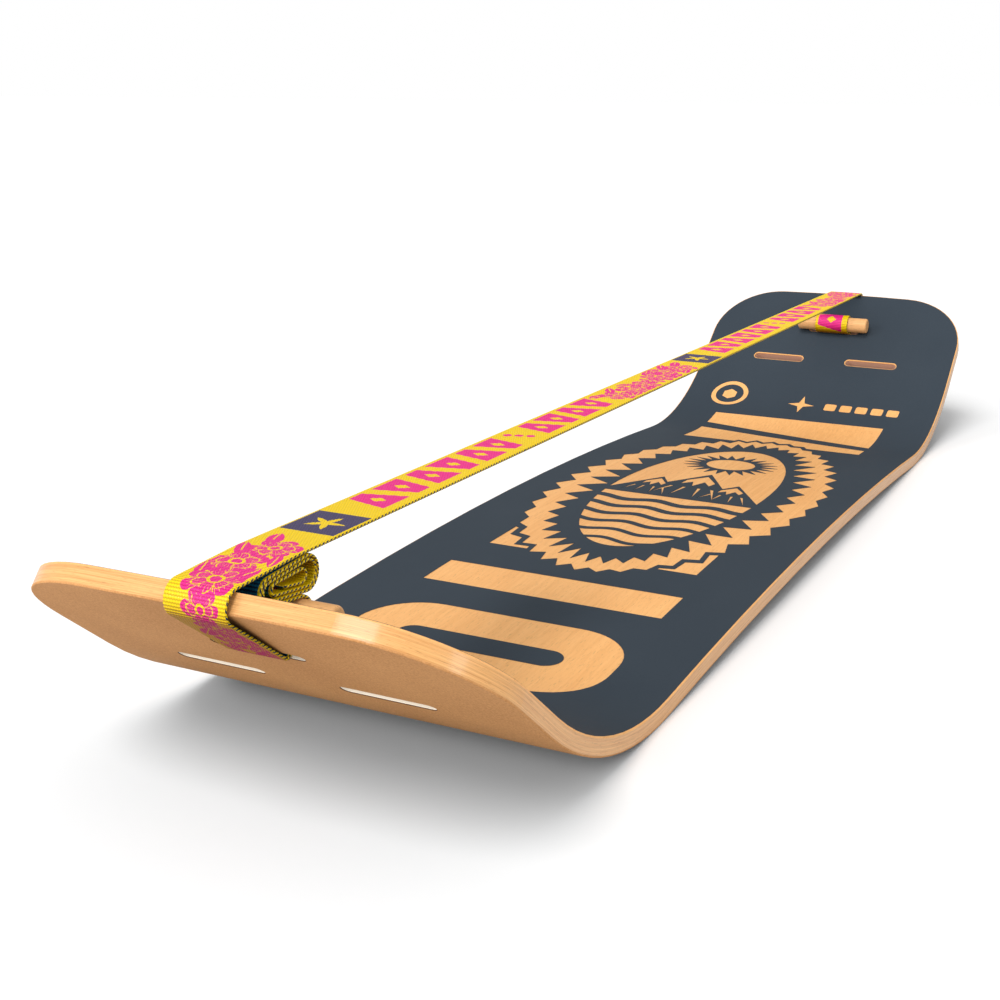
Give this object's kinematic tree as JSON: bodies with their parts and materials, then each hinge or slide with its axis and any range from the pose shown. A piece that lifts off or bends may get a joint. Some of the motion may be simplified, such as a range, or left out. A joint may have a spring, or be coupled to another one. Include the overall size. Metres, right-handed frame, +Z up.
{
  "type": "slackline balance board",
  "caption": "Bent plywood balance board with raised noses and a webbing line stretched between them, held by a loose dowel at each end.",
  "frame": {"origin": "on the floor, under the centre of the board", "axes": "+X along the board towards the end without the roll of spare webbing, +Y across it, +Z up"},
  "size_m": [1.6476, 0.38, 0.19],
  "materials": {
    "beech_face": "satin",
    "beech_core": "satin",
    "beech_base": "matte",
    "dark_print": "matte",
    "webbing": "woven",
    "beech_dowel": "satin"
  },
  "bodies": {
    "deck": {"face_veneer": "beech_face", "core_veneer_1": "beech_core", "core_veneer_2": "beech_core", "core_veneer_3": "beech_core", "core_veneer_4": "beech_core", "core_veneer_5": "beech_core", "core_veneer_6": "beech_core", "core_veneer_7": "beech_core", "core_veneer_8": "beech_core", "core_veneer_9": "beech_core", "base_veneer": "beech_base", "printed_face": "dark_print", "webbing_near_wrap": "webbing", "webbing_roll": "webbing", "webbing_far_loop": "webbing"},
    "near_line": {"webbing_near_span": "webbing"},
    "far_line": {"webbing_far_span": "webbing"},
    "near_pin": {"near_dowel": "beech_dowel"},
    "far_pin": {"far_dowel": "beech_dowel"}
  },
  "joints": [
    {"name": "line_sag", "type": "hinge", "parent": "deck", "child": "near_line", "pos_m": [-0.70073, 0, 0.1886], "axis": [0, 1, 0], "range_deg": [0, 4]},
    {"name": "line_fold", "type": "hinge", "parent": "near_line", "child": "far_line", "pos_m": [0.0495, 0, 0.18714], "axis": [0, 1, 0], "range_deg": [-8, 0]},
    {"name": "near_dowel_slide", "type": "slide", "parent": "deck", "child": "near_pin", "axis": [0, 1, 0], "range_m": [-0.08, 0.08]},
    {"name": "far_dowel_slide", "type": "slide", "parent": "deck", "child": "far_pin", "axis": [0, 1, 0], "range_m": [-0.08, 0.08]}
  ],
  "couplings": [
    {"joint": "line_fold", "follows": "line_sag", "ratio": -2}
  ]
}
